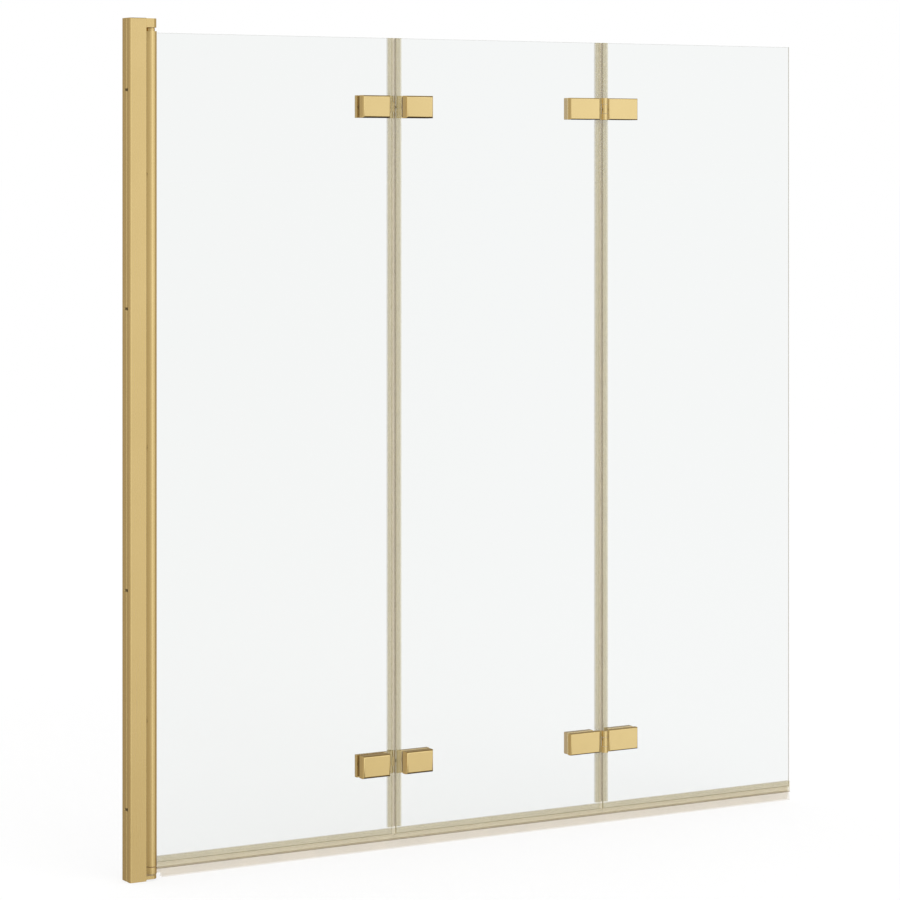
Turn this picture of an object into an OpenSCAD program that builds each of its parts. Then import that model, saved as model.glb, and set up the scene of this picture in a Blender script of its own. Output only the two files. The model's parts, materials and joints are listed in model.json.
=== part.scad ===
// Three-panel folding bath screen in gold aluminium and clear glass.
// X runs along the screen from the wall, the front faces -Y and Z is up.
// The origin is on the wall face, in the middle plane of the glass, at the foot of the wall profile.
// Millimetres.

/* [Overall] */
// Height of the screen over the top cap
screen_h = 1380; // [1200:1:1500]
// Width of the first panel, from the pivot axis to the first fold
panel_1_w = 443.4; // [320:0.1:600]
// Width of the second panel, from the first fold to the second
panel_2_w = 410.9; // [300:0.1:600]
// Width of the third panel, from the second fold to its free edge
panel_3_w = 401.2; // [300:0.1:600]

/* [Glass] */
// Thickness of the glass
glass_t = 5; // [4:0.5:8]
// Height of the bottom edge of the glass over the foot of the wall profile
glass_lift = 24.6; // [23:0.1:40]
// Distance from the top of the pivot barrel down to the top edge of the glass
glass_drop = 2.2; // [0.5:0.1:10]
// Gap between the glass edges at a fold
glass_gap = 8; // [7:0.5:12]
// Bevel of the ground glass edges
glass_bevel = 0.6; // [0.2:0.1:1]
// Diameter of the holes through the glass for the clamp screws
glass_hole_d = 10.4; // [8:0.1:14]

/* [Wall profile] */
// Distance that the wall profile stands out from the wall
wall_w = 28.5; // [24:0.5:40]
// Depth of the wall profile from front to back
wall_d = 32; // [28:0.5:40]
// Thickness of the web that lies on the wall
wall_web = 2.2; // [1.5:0.1:4]
// Thickness of the front and back flanges
wall_flange = 1.8; // [1.2:0.1:3]
// Radius of the two outer corners at the wall
wall_corner_r = 2.5; // [0.5:0.1:3]
// Width of the shallow screw groove in the web
groove_w = 4; // [2:0.1:7]
// Depth of the screw groove
groove_deep = 0.6; // [0.2:0.1:1]
// Distance of the screw groove from the middle of the web, towards the front
groove_shift = 4; // [0:0.1:7]
// Diameter of the four wall screw holes
wall_hole_d = 6; // [5.2:0.1:7]
// Length of the slot that runs back from each wall screw hole, from centre to centre
wall_slot_l = 7.5; // [4:0.5:10]
// Width of the slot
wall_slot_w = 4; // [3:0.1:4.5]
// Distance of the outer wall screw holes from the ends of the profile
wall_hole_end = 115; // [60:1:200]
// Distance from an outer wall screw hole to the next inner one
wall_hole_step = 350; // [200:1:400]
// Thickness of the top cap
cap_t = 1.5; // [1:0.1:4]

/* [Adjusting profile] */
// Clearance between the adjusting profile and the wall profile
adjust_fit = 0.3; // [0.2:0.05:0.6]
// Wall thickness of the adjusting profile
adjust_t = 1.5; // [1.2:0.1:2.5]
// Distance from the wall face to the near edge of the adjusting profile
adjust_near = 6; // [4:0.5:8]
// Diameter of the bracket screws
bracket_screw_d = 3.5; // [3:0.1:4]
// Diameter of the locking screws
lock_screw_d = 3.9; // [3:0.1:4.2]
// Distance of the lowest and highest locking screws from the middle one
lock_screw_step = 440; // [200:1:500]
// Diameter of the round covers on the locking screws
lock_cover_d = 12; // [11:0.5:16]

/* [Pivot] */
// Diameter of the pivot barrel
barrel_d = 17; // [16:0.5:22]
// Gap between the wall profile and the pivot barrel
barrel_gap = 7.5; // [6:0.5:12]
// Height of the part of the top bracket that shows
top_bracket_t = 14.5; // [10:0.1:20]
// Distance from the top of the cap down to the top of the bracket
bracket_step = 0.5; // [0:0.1:1.4]
// Height of the collar that shows between the top bracket and the barrel
collar_show = 5.5; // [3:0.1:10]
// Diameter of the top collar and the bottom bush
collar_d = 11; // [9.6:0.1:12]
// Diameter of the two pivot pins
pivot_pin_d = 6; // [4:0.1:6.4]
// Running clearance round a pivot pin
pivot_fit = 0.05; // [0.02:0.01:0.1]
// Depth of the bushes in the barrel ends
bush_depth = 21.5; // [15:0.5:40]
// Height of the underside of the bottom bracket over the foot of the wall profile
foot_lift = 2.5; // [1:0.1:6]
// Thickness of the bottom bracket
foot_plate_t = 5.5; // [5:0.1:7]
// Height of the foot collar under the barrel
foot_collar_h = 10.8; // [8:0.1:14]
// Thickness of the foot washer
foot_washer_t = 1.2; // [0.8:0.1:2]
// Radius of the two outer corners of the brackets
bracket_r = 9; // [6:0.5:13]
// Distance that the brackets reach past the pivot axis
bracket_past = 4.6; // [4:0.1:10]
// Width of the stop lug under the top bracket, behind the collar
lug_w = 7; // [5:0.5:9]
// Distance from the pivot axis back to the far face of the stop lug
lug_back = 12; // [9:0.5:14]

/* [Seals] */
// Wall thickness of the seals
seal_wall = 1.95; // [1.2:0.05:2.2]
// Depth of the grip of a vertical joint seal on the glass
seal_grip = 9; // [6:0.1:9.4]
// Distance from a fold line to the parting between its two seals
seal_split = 1.5; // [0:0.1:1.5]
// Gap between the two seals of a fold
seal_gap = 0.8; // [0.4:0.1:1.2]
// Depth of the grip of a bottom seal on the glass
sill_grip = 11.9; // [8:0.1:20]
// Height of the hollow chamber of a bottom seal
sill_chamber_h = 6.7; // [5:0.1:6.8]
// Gap between the wiping fins of a bottom seal and the bath rim
sill_clear = 0.8; // [0.4:0.1:3]

/* [Hinges] */
// Height of a hinge
hinge_h = 37.5; // [30:0.5:60]
// Distance from the top edge of the glass down to the middle of the upper hinges
hinge_drop = 115.1; // [80:0.1:250]
// Distance from the bottom edge of the glass up to the middle of the lower hinges
hinge_rise = 119.2; // [80:0.1:250]
// Distance from a fold to the outer edge of a leaf
leaf_reach = 69; // [66:0.5:90]
// Distance from a fold to the inner edge of a leaf
leaf_inset = 9.2; // [8:0.1:12]
// Thickness of a leaf
leaf_t = 9.3; // [8:0.1:14]
// Distance from a fold to the inner edge of a clamp block
block_inset = 15; // [14:0.5:18]
// Distance from a fold to the outer edge of a clamp block
block_reach = 67; // [64:0.5:90]
// Thickness of a clamp block
block_t = 14.2; // [10:0.1:16]
// Radius of the edges round the face of a leaf
leaf_edge_r = 2; // [0.5:0.1:3]
// Radius of the edges round the face of a clamp block
block_edge_r = 3.4; // [0.5:0.1:4]
// Thickness of the pads between a hinge and the glass
pad_t = 1; // [0.8:0.1:1.5]
// Diameter of a knuckle
knuckle_d = 11.4; // [10:0.1:13]
// Distance from the face of a leaf out to the pin axis
pin_proud = 0.5; // [0.3:0.1:1.5]
// Depth of the groove in a leaf beside its knuckle
knuckle_groove = 2.2; // [0:0.1:3]
// Diameter of a hinge pin
hinge_pin_d = 5; // [4:0.1:6]
// Running clearance round a hinge pin
hinge_fit = 0.05; // [0.02:0.01:0.1]
// Height of the middle knuckle
knuckle_mid_h = 16; // [10:0.5:20]
// Thickness of the washers between the knuckles
knuckle_washer_t = 0.4; // [0.3:0.1:1]
// Diameter of the clamp screws
clamp_screw_d = 5; // [4:0.1:6]
// Distance from a fold to the nearer clamp screw of a leaf
clamp_near = 28; // [26:0.5:32]
// Distance between the two clamp screws of a leaf
clamp_step = 26; // [22:0.5:28]

/* [Hidden] */

$fn = 48;

// Length by which a cut runs past the faces that it opens
over = 1;
// Clearance of a piece that sits still in its seat
seat_fit = 0.05;
// Clearance between faces that turn past each other
turn_gap = 0.3;

// Colours as seen
gold = [0.86, 0.74, 0.48];
gold_dark = [0.72, 0.6, 0.36];
clear_glass = [0.85, 0.93, 0.9, 0.35];
beige_vinyl = [0.8, 0.75, 0.62];
white_nylon = [0.92, 0.92, 0.9];
grey_steel = [0.62, 0.63, 0.65];
black_rubber = [0.15, 0.15, 0.15];

// Places along the screen
pivot_x = wall_w + barrel_gap + barrel_d / 2;
fold_a_x = pivot_x + panel_1_w;
fold_b_x = fold_a_x + panel_2_w;
screen_w = fold_b_x + panel_3_w;

// Heights of the wall frame
cap_z = screen_h - cap_t;
bracket_top_z = screen_h - bracket_step;
bracket_z = bracket_top_z - top_bracket_t;
tongue_top_z = cap_z - 2 * seat_fit;
foot_plate_z = foot_lift + foot_plate_t;
foot_washer_z = foot_plate_z + foot_collar_h + seat_fit;
barrel_z0 = foot_washer_z + foot_washer_t + seat_fit;
barrel_z1 = bracket_z - collar_show;

// Heights of the glass and the hinges
glass_z0 = glass_lift;
glass_z1 = barrel_z1 - glass_drop;
hinge_up_z = glass_z1 - hinge_drop;
hinge_low_z = glass_z0 + hinge_rise;

// Half thicknesses, measured from the middle plane of the glass
glass_y = glass_t / 2;
leaf_in_y = glass_y + pad_t;
leaf_out_y = leaf_in_y + leaf_t;
block_out_y = leaf_in_y + block_t;
pin_y = leaf_out_y + pin_proud;
seal_in_y = glass_y + seat_fit;
seal_out_y = seal_in_y + seal_wall;
wall_y = wall_d / 2;
wall_in_y = wall_y - wall_flange;
adjust_out_y = wall_in_y - adjust_fit;
adjust_in_y = adjust_out_y - adjust_t;
adjust_recess = 0.2;
adjust_far = wall_w - adjust_recess;

// Slot, gasket and glass edge in the barrel
slot_wall = 2.7;
gasket_t = 1;
slot_y = glass_y + gasket_t + 2 * seat_fit;
slot_x0 = pivot_x - barrel_d / 2 + slot_wall;
glass_1_x0 = slot_x0 + gasket_t + 3 * seat_fit;
slot_mouth_x = pivot_x + sqrt(pow(barrel_d / 2, 2) - pow(slot_y, 2));
bush_seat_r = collar_d / 2 + 2 * seat_fit;
bush_wall = 1;
bush_in_r = pivot_pin_d / 2 + pivot_fit;
bush_out_r = bush_in_r + bush_wall;
notch_clear = 1;
notch_x = pivot_x + bush_seat_r + notch_clear;
notch_z0 = barrel_z0 + bush_depth + notch_clear;
notch_z1 = barrel_z1 - bush_depth - notch_clear;

// Bracket screws and the ports that they bite in
port_inset = 6;
port_x = adjust_near + port_inset;
port_r = bracket_screw_d / 2 + seat_fit;
port_wall = 1.4;
port_y = adjust_out_y - port_wall - port_r;
bracket_screw_l = 16;
bracket_head_r = bracket_screw_d * 0.95;
bracket_head_h = 2;
bracket_key_d = 2;
bracket_key_deep = 1.2;
pin_floor = 1.5;
pin_bevel = 0.5;

// Locking screws
lock_from_port = 1.5;
lock_x = port_x + port_r + port_wall + lock_screw_d / 2 + lock_from_port;
lock_screw_l = 9;
lock_head_r = 3.8;
lock_head_h = 2;
lock_slot_w = 0.8;
lock_slot_l = 4;
lock_slot_deep = 1;
lock_heights = [screen_h / 2 - lock_screw_step, screen_h / 2, screen_h / 2 + lock_screw_step];
cover_wall = 0.9;
cover_clear = 0.4;
cover_h = lock_head_h + cover_wall + cover_clear;

// Wiper seal in front of the barrel
wiper_neck_y = 1.4;
wiper_foot_y = 3;
wiper_foot_t = 2.4;
wiper_lip = 1.3;
wiper_pocket_y = 5;
wiper_base_y = 4;
wiper_base_t = 1.4;
wiper_wall = 0.9;

// Seals at a fold, measured from the fold line
glass_edge_u = glass_gap / 2;
seal_web = 1.9;
seal_nose_step = 0.9;
seal_nose_y = seal_out_y - seal_nose_step;
seal_tip = 1.1;
sill_top_z = glass_z0 + sill_grip;
seal_z0 = sill_top_z + turn_gap;

// Bottom seals
sill_web_z0 = glass_z0 - seat_fit - seal_wall;
sill_z0 = sill_web_z0 - sill_chamber_h;
sill_hollow_wall = 1.3;
fin_t = 1.2;
fin_root_y = 2.6;
fin_tip_inset = 0.3;
fin_tip_y = seal_out_y - fin_tip_inset;
fin_swing_gap = 0.3;
fin_start_x = pivot_x + wall_y + fin_swing_gap;
sill_start_x = pivot_x + barrel_d / 2 + turn_gap;

// Screws through hinge and glass
clamp_hole_r = clamp_screw_d / 2 + seat_fit;
clamp_pass_fit = 0.25;
clamp_pass_r = clamp_screw_d / 2 + clamp_pass_fit;
clamp_head_r = clamp_screw_d * 0.92;
clamp_head_h = 2.6;
clamp_sink = 0.2;
clamp_floor = 2;
clamp_tip_gap = 0.5;
clamp_key_d = 3.4;
clamp_key_deep = 2;
clamps = [clamp_near, clamp_near + clamp_step];
pad_inset = 16;
pad_edge = 2;
pad_far = block_reach - 1;
pin_end_bevel = 0.4;
washer_inset = 0.5;

// Recess in a leaf round the seals
relief_long = 1;
relief_deep = 0.4;
relief_x = seal_grip + glass_edge_u + relief_long;
relief_y = seal_out_y + relief_deep;

// Box from low to high corner
module span(x0, x1, y0, y1, z0, z1) {
  translate([x0, y0, z0]) cube([x1 - x0, y1 - y0, z1 - z0]);
}

// Flat rectangle from low to high corner
module flat(x0, x1, y0, y1) {
  translate([x0, y0]) square([x1 - x0, y1 - y0]);
}

// Flat rectangle whose two corners at the high first coordinate are round
module flat_round_far(x0, x1, y, r) {
  flat(x0, x1 - r, -y, y);
  flat(x0, x1, r - y, y - r);
  for (side = [-1, 1]) {
    translate([x1 - r, side * (y - r)]) circle(r = r, $fn = 96);
  }
}

// Flat rectangle with bevelled corners
module flat_bevel(x0, x1, y0, y1, b) {
  polygon([
    [x0 + b, y0], [x1 - b, y0], [x1, y0 + b], [x1, y1 - b],
    [x1 - b, y1], [x0 + b, y1], [x0, y1 - b], [x0, y0 + b]
  ]);
}

// Rod along Z with bevelled ends
module rod(r, z0, z1, bevel) {
  rotate_extrude($fn = 64)
    polygon([[0, z0], [r - bevel, z0], [r, z0 + bevel], [r, z1 - bevel], [r - bevel, z1], [0, z1]]);
}

// Ring along Z
module ring(r_out, r_in, z0, z1) {
  translate([0, 0, z0]) difference() {
    cylinder(r = r_out, h = z1 - z0, $fn = 96);
    translate([0, 0, -over]) cylinder(r = r_in, h = z1 - z0 + 2 * over, $fn = 64);
  }
}

// Round hole along Y from y0 to y1
module hole_y(x, z, r, y0, y1) {
  translate([x, y1, z]) rotate([90, 0, 0]) cylinder(r = r, h = y1 - y0);
}

// Countersunk screw pointing down -Z, with its flat head at z = 0 and a hexagon socket
module sunk_screw(d, head_r, head_h, length, key_d, key_deep) {
  difference() {
    union() {
      translate([0, 0, -head_h]) cylinder(r1 = d / 2, r2 = head_r, h = head_h);
      translate([0, 0, -length]) cylinder(r = d / 2, h = length - head_h);
    }
    translate([0, 0, -key_deep]) cylinder(d = key_d, h = key_deep + over, $fn = 6);
  }
}

// Wall frame

// Round screw hole with a slot that runs back from it, for setting the profile upright
module wall_hole() {
  circle(d = wall_hole_d);
  flat(-wall_slot_w / 2, wall_slot_w / 2, 0, wall_slot_l);
  translate([0, wall_slot_l]) circle(d = wall_slot_w);
}

module wall_profile() {
  color(gold) difference() {
    linear_extrude(height = cap_z) difference() {
      mirror([1, 0]) translate([-wall_w, 0]) flat_round_far(0, wall_w, wall_y, wall_corner_r);
      flat(wall_web, wall_w + over, -wall_in_y, wall_in_y);
      flat(-over, groove_deep, -groove_shift - groove_w / 2, -groove_shift + groove_w / 2);
    }
    for (z = [wall_hole_end, wall_hole_end + wall_hole_step]) {
      for (height = [z, screen_h - z]) {
        translate([-over, -groove_shift, height]) rotate([0, 90, 0])
          linear_extrude(height = wall_web + 2 * over) wall_hole();
      }
    }
    for (z = lock_heights) {
      hole_y(lock_x, z, lock_screw_d / 2 + seat_fit, wall_in_y - over, wall_y + over);
    }
  }
}

module adjust_profile() {
  pocket_x0 = adjust_far - wiper_lip - wiper_foot_t - 2 * seat_fit;
  color(gold_dark) difference() {
    translate([0, 0, foot_plate_z]) linear_extrude(height = bracket_z - foot_plate_z) difference() {
      union() {
        difference() {
          flat(adjust_near, adjust_far, -adjust_out_y, adjust_out_y);
          flat(adjust_near - over, adjust_far - adjust_t, -adjust_in_y, adjust_in_y);
        }
        flat(pocket_x0 - adjust_t, adjust_far, -wiper_pocket_y, wiper_pocket_y);
        for (side = [-1, 1]) {
          translate([port_x, side * port_y]) circle(r = port_r + port_wall);
        }
      }
      for (side = [-1, 1]) {
        translate([port_x, side * port_y]) circle(r = port_r);
      }
      flat(pocket_x0, adjust_far - wiper_lip, -wiper_foot_y - seat_fit, wiper_foot_y + seat_fit);
      flat(pocket_x0, adjust_far + over, -wiper_neck_y - seat_fit, wiper_neck_y + seat_fit);
    }
    for (z = lock_heights) {
      hole_y(lock_x, z, lock_screw_d / 2 + seat_fit, adjust_in_y - over, adjust_out_y + over);
    }
  }
}

module top_cap() {
  color(gold) intersection() {
    translate([0, 0, cap_z])
      linear_extrude(height = cap_t)
        mirror([1, 0]) translate([-wall_w, 0]) flat_round_far(0, wall_w, wall_y, wall_corner_r);
    translate([wall_w, 0, cap_z]) rotate([90, 0, -90])
      linear_extrude(height = wall_w)
        polygon([
          [-wall_y, 0], [wall_y, 0], [wall_y, cap_t / 2],
          [wall_y - cap_t / 2, cap_t], [cap_t / 2 - wall_y, cap_t], [-wall_y, cap_t / 2]
        ]);
  }
}

// Outline of the tongue of a bracket, which lies inside the wall profile
module bracket_tongue() {
  flat(adjust_near, wall_w + over, -adjust_out_y, adjust_out_y);
}

// Outline of the round-ended body of a bracket, outside the wall profile
module bracket_body() {
  x0 = wall_w + seat_fit;
  x1 = pivot_x + bracket_past;
  intersection() {
    flat_round_far(x0, x1, wall_y, bracket_r);
    flat(x0, x1, -wall_y, wall_y);
  }
}

// Two countersunk holes for the bracket screws, opening upwards at z = 0
module bracket_screw_holes(depth) {
  sink_r = bracket_head_r + 2 * seat_fit;
  for (side = [-1, 1]) {
    translate([port_x, side * port_y, 0]) {
      translate([0, 0, -bracket_head_h]) cylinder(r1 = port_r, r2 = sink_r, h = bracket_head_h);
      translate([0, 0, -depth - over]) cylinder(r = port_r, h = depth + over - bracket_head_h / 2);
      cylinder(r = sink_r, h = over);
    }
  }
}

module top_bracket() {
  color(gold) difference() {
    union() {
      translate([0, 0, bracket_z]) linear_extrude(height = tongue_top_z - bracket_z) bracket_tongue();
      translate([0, 0, bracket_z]) linear_extrude(height = top_bracket_t) bracket_body();
      span(pivot_x - lug_w, pivot_x, collar_d / 2 + turn_gap, lug_back,
        barrel_z1 + turn_gap, bracket_z + over);
    }
    translate([pivot_x, 0, bracket_z - over])
      cylinder(r = pivot_pin_d / 2 + seat_fit, h = top_bracket_t + over - pin_floor);
    translate([0, 0, tongue_top_z]) bracket_screw_holes(tongue_top_z - bracket_z);
  }
}

module bottom_bracket() {
  color(gold) difference() {
    translate([0, 0, foot_lift]) linear_extrude(height = foot_plate_t) {
      bracket_tongue();
      bracket_body();
    }
    translate([pivot_x, 0, foot_lift + pin_floor])
      cylinder(r = pivot_pin_d / 2 + seat_fit, h = foot_plate_t);
    translate([0, 0, foot_lift]) mirror([0, 0, 1]) bracket_screw_holes(foot_plate_t);
  }
}

module top_pivot_pin() {
  color(grey_steel) translate([pivot_x, 0, 0])
    rod(pivot_pin_d / 2, barrel_z1 - bush_depth + over, bracket_top_z - pin_floor - seat_fit, pin_bevel);
}

module bottom_pivot_pin() {
  color(grey_steel) translate([pivot_x, 0, 0])
    rod(pivot_pin_d / 2, foot_lift + pin_floor + seat_fit, barrel_z0 + bush_depth - over, pin_bevel);
}

module foot_collar() {
  color(gold) translate([pivot_x, 0, 0])
    ring(barrel_d / 2, pivot_pin_d / 2 + seat_fit, foot_plate_z, foot_plate_z + foot_collar_h);
}

module foot_washer() {
  color(black_rubber) translate([pivot_x, 0, 0])
    ring(barrel_d / 2 - washer_inset, pivot_pin_d / 2 + seat_fit,
      foot_washer_z, foot_washer_z + foot_washer_t);
}

module locking_screws() {
  color(grey_steel) for (z = lock_heights) {
    translate([lock_x, wall_y, z]) rotate([-90, 0, 0]) difference() {
      union() {
        cylinder(r = lock_head_r, h = lock_head_h);
        translate([0, 0, -lock_screw_l]) cylinder(d = lock_screw_d, h = lock_screw_l + over);
      }
      for (turn = [0, 90]) {
        rotate([0, 0, turn]) span(-lock_slot_l / 2, lock_slot_l / 2, -lock_slot_w / 2, lock_slot_w / 2,
          lock_head_h - lock_slot_deep, lock_head_h + over);
      }
    }
  }
}

module locking_screw_covers() {
  cover_r = lock_cover_d / 2;
  cover_in_r = lock_head_r + cover_clear / 2;
  color(gold) for (z = lock_heights) {
    translate([lock_x, wall_y, z]) rotate([-90, 0, 0])
      rotate_extrude($fn = 64)
        polygon([
          [cover_in_r, 0], [cover_r, 0], [cover_r, cover_h - cover_wall],
          [cover_r - cover_wall, cover_h], [0, cover_h], [0, cover_h - cover_wall],
          [cover_in_r, cover_h - cover_wall]
        ]);
  }
}

module bracket_screws() {
  color(grey_steel) for (side = [-1, 1]) {
    translate([port_x, side * port_y, tongue_top_z])
      sunk_screw(bracket_screw_d, bracket_head_r, bracket_head_h,
        tongue_top_z - bracket_z + bracket_screw_l, bracket_key_d, bracket_key_deep);
    translate([port_x, side * port_y, foot_lift]) mirror([0, 0, 1])
      sunk_screw(bracket_screw_d, bracket_head_r, bracket_head_h, foot_plate_t + bracket_screw_l,
        bracket_key_d, bracket_key_deep);
  }
}

module pivot_wiper_seal() {
  foot_x1 = adjust_far - wiper_lip - seat_fit;
  bulb_x1 = wall_w + barrel_gap - turn_gap - seat_fit;
  bulb_r = (bulb_x1 - adjust_far - seat_fit) / 2;
  bulb_x = bulb_x1 - bulb_r;
  z0 = foot_plate_z + seat_fit;
  color(beige_vinyl) translate([0, 0, z0]) linear_extrude(height = bracket_z - seat_fit - z0)
    difference() {
      union() {
        flat(foot_x1 - wiper_foot_t, foot_x1, -wiper_foot_y, wiper_foot_y);
        flat(foot_x1 - over / 2, bulb_x, -wiper_neck_y, wiper_neck_y);
        flat(adjust_far + seat_fit, adjust_far + wiper_base_t, -wiper_base_y, wiper_base_y);
        translate([bulb_x, 0]) circle(r = bulb_r);
      }
      translate([bulb_x, 0]) circle(r = bulb_r - wiper_wall);
    }
}

// Pivot side of the first panel

module pivot_profile() {
  color(gold) difference() {
    translate([pivot_x, 0, barrel_z0]) cylinder(d = barrel_d, h = barrel_z1 - barrel_z0, $fn = 96);
    span(slot_x0, pivot_x + barrel_d, -slot_y, slot_y, barrel_z0 - over, barrel_z1 + over);
    for (z = [barrel_z0 - over, barrel_z1 - bush_depth - 2 * seat_fit]) {
      translate([pivot_x, 0, z]) cylinder(r = bush_seat_r, h = bush_depth + over + 2 * seat_fit);
    }
  }
}

module top_collar() {
  color(gold) translate([pivot_x, 0, 0])
    ring(collar_d / 2, bush_out_r + seat_fit, barrel_z1 - bush_depth, bracket_z - turn_gap);
}

module top_bush() {
  color(white_nylon) translate([pivot_x, 0, 0])
    ring(bush_out_r, bush_in_r, barrel_z1 - bush_depth, bracket_z - turn_gap);
}

module bottom_bush() {
  color(white_nylon) translate([pivot_x, 0, 0])
    ring(collar_d / 2, bush_in_r, barrel_z0, barrel_z0 + bush_depth);
}

module glazing_gasket() {
  color(beige_vinyl) translate([0, 0, notch_z0 + seat_fit])
    linear_extrude(height = notch_z1 - notch_z0 - 2 * seat_fit) difference() {
      flat(slot_x0 + seat_fit, slot_mouth_x - 2 * seat_fit, seat_fit - slot_y, slot_y - seat_fit);
      flat(glass_1_x0 - seat_fit, slot_mouth_x + over, -glass_y - seat_fit / 2, glass_y + seat_fit / 2);
    }
}

// Glass

// A pane with bevelled edges and the holes for its clamp screws
module pane(x0, x1, hole_xs) {
  difference() {
    intersection() {
      translate([0, 0, glass_z0]) linear_extrude(height = glass_z1 - glass_z0)
        flat_bevel(x0, x1, -glass_y, glass_y, glass_bevel);
      translate([x0, 0, 0]) rotate([90, 0, 90]) linear_extrude(height = x1 - x0)
        flat_bevel(-glass_y, glass_y, glass_z0, glass_z1, glass_bevel);
    }
    for (x = hole_xs) {
      for (z = [hinge_low_z, hinge_up_z]) {
        hole_y(x, z, glass_hole_d / 2, -glass_y - over, glass_y + over);
      }
    }
  }
}

module glass_1() {
  color(clear_glass) difference() {
    pane(glass_1_x0, fold_a_x - glass_edge_u, [for (u = clamps) fold_a_x - u]);
    span(glass_1_x0 - over, notch_x, -glass_y - over, glass_y + over, notch_z1, glass_z1 + over);
    span(glass_1_x0 - over, notch_x, -glass_y - over, glass_y + over, glass_z0 - over, notch_z0);
  }
}

module glass_2() {
  color(clear_glass)
    pane(fold_a_x + glass_edge_u, fold_b_x - glass_edge_u,
      concat([for (u = clamps) fold_a_x + u], [for (u = clamps) fold_b_x - u]));
}

module glass_3() {
  color(clear_glass) pane(fold_b_x + glass_edge_u, screen_w, [for (u = clamps) fold_b_x + u]);
}

// Seals

// Section of a seal that grips a glass edge at u = 0, from its tips at u = -grip to its far face
module grip_section(grip, far) {
  difference() {
    polygon([
      [-grip, seal_tip - seal_out_y], [seal_tip - grip, -seal_out_y], [far, -seal_out_y],
      [far, seal_out_y], [seal_tip - grip, seal_out_y], [-grip, seal_out_y - seal_tip]
    ]);
    flat(-grip - over, seat_fit, -seal_in_y, seal_in_y);
  }
}

// Upright seal on the panel before a fold, with a narrow nose that reaches over the fold line
module seal_before(fold_x) {
  translate([fold_x - glass_edge_u, 0, seal_z0]) linear_extrude(height = glass_z1 - seal_z0) {
    grip_section(seal_grip, seal_web);
    flat(seal_web - over / 10, glass_edge_u + seal_split - seal_gap / 2, -seal_nose_y, seal_nose_y);
  }
}

// Upright seal on the panel after a fold
module seal_after(fold_x) {
  translate([fold_x + glass_edge_u, 0, seal_z0]) mirror([1, 0, 0])
    linear_extrude(height = glass_z1 - seal_z0)
      grip_section(seal_grip, glass_edge_u - seal_split - seal_gap / 2);
}

// Bottom seal from x0 to x1
module bottom_seal(x0, x1) {
  translate([x0, 0, 0]) rotate([90, 0, 90]) linear_extrude(height = x1 - x0) difference() {
    translate([0, glass_z0]) rotate(-90) grip_section(sill_grip, glass_z0 - sill_z0);
    flat(sill_hollow_wall - seal_out_y, seal_out_y - sill_hollow_wall,
      sill_z0 + sill_hollow_wall, sill_web_z0);
  }
  translate([x0, 0, 0]) rotate([90, 0, 90]) linear_extrude(height = x1 - x0)
    for (side = [-1, 1]) {
      polygon([
        [side * fin_root_y, sill_z0 + over / 10], [side * (fin_root_y - fin_t), sill_z0 + over / 10],
        [side * (fin_tip_y - fin_t), sill_clear], [side * fin_tip_y, sill_clear]
      ]);
    }
}

module joint_seal_a_1() {
  color(beige_vinyl) seal_before(fold_a_x);
}

module joint_seal_a_2() {
  color(beige_vinyl) seal_after(fold_a_x);
}

module joint_seal_b_2() {
  color(beige_vinyl) seal_before(fold_b_x);
}

module joint_seal_b_3() {
  color(beige_vinyl) seal_after(fold_b_x);
}

// The first bottom seal, cut away where it swings past the bottom bracket
module bottom_seal_1() {
  color(beige_vinyl) difference() {
    bottom_seal(sill_start_x, fold_a_x + seal_split - seal_gap / 2);
    span(sill_start_x - over, fin_start_x, -wall_y, wall_y, -over, foot_plate_z + turn_gap);
  }
}

module bottom_seal_2() {
  color(beige_vinyl)
    bottom_seal(fold_a_x + seal_split + seal_gap / 2, fold_b_x + seal_split - seal_gap / 2);
}

module bottom_seal_3() {
  color(beige_vinyl) bottom_seal(fold_b_x + seal_split + seal_gap / 2, screen_w);
}

// Hinges
// A hinge is drawn round its fold line at x = 0, on the side of its pin at -Y and with its middle at z = 0.

// Bar from x0 to x1, from the inner face y0 out to the face y1 at -Y, with edges of radius r round it
module bar(x0, x1, y0, y1, r) {
  middle = (x0 + x1) / 2;
  intersection() {
    translate([middle, 0, -hinge_h / 2]) linear_extrude(height = hinge_h)
      rotate(-90) flat_round_far(y0, y1, (x1 - x0) / 2, r);
    translate([x0, 0, 0]) rotate([90, 0, 90]) linear_extrude(height = x1 - x0)
      rotate(180) flat_round_far(y0, y1, hinge_h / 2, r);
  }
}

// Web beside the pin of a leaf on the +X side, from x0 to the leaf
module leaf_web(x0, z0, z1) {
  span(x0, leaf_inset + leaf_edge_r, knuckle_groove - leaf_out_y,
    knuckle_d / 2 - pin_y - seat_fit, z0, z1);
}

// Knuckle from z0 to z1 with the web that joins it to a leaf on the +X side
module knuckle(z0, z1) {
  translate([0, -pin_y, z0]) cylinder(d = knuckle_d, h = z1 - z0);
  leaf_web(0, z0, z1);
}

// Leaf on the +X side, with the middle knuckle or the two outer ones
module leaf(middle) {
  mid = knuckle_mid_h / 2;
  end = hinge_h / 2;
  step = mid + knuckle_washer_t + 2 * seat_fit;
  difference() {
    union() {
      bar(leaf_inset, leaf_reach, leaf_in_y, leaf_out_y, leaf_edge_r);
      leaf_web(knuckle_d / 2 + turn_gap, -end, end);
      if (middle) {
        knuckle(-mid, mid);
      } else {
        knuckle(step, end);
        knuckle(-end, -step);
      }
    }
    span(-over, relief_x, -relief_y, 0, -hinge_h, hinge_h);
    translate([0, -pin_y, -hinge_h]) cylinder(d = hinge_pin_d + 2 * hinge_fit, h = 2 * hinge_h);
  }
}

// Clamp block on the +X side, on the other face of the glass
module block() {
  mirror([0, 1, 0]) bar(block_inset, block_reach, leaf_in_y, block_out_y, block_edge_r);
}

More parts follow.
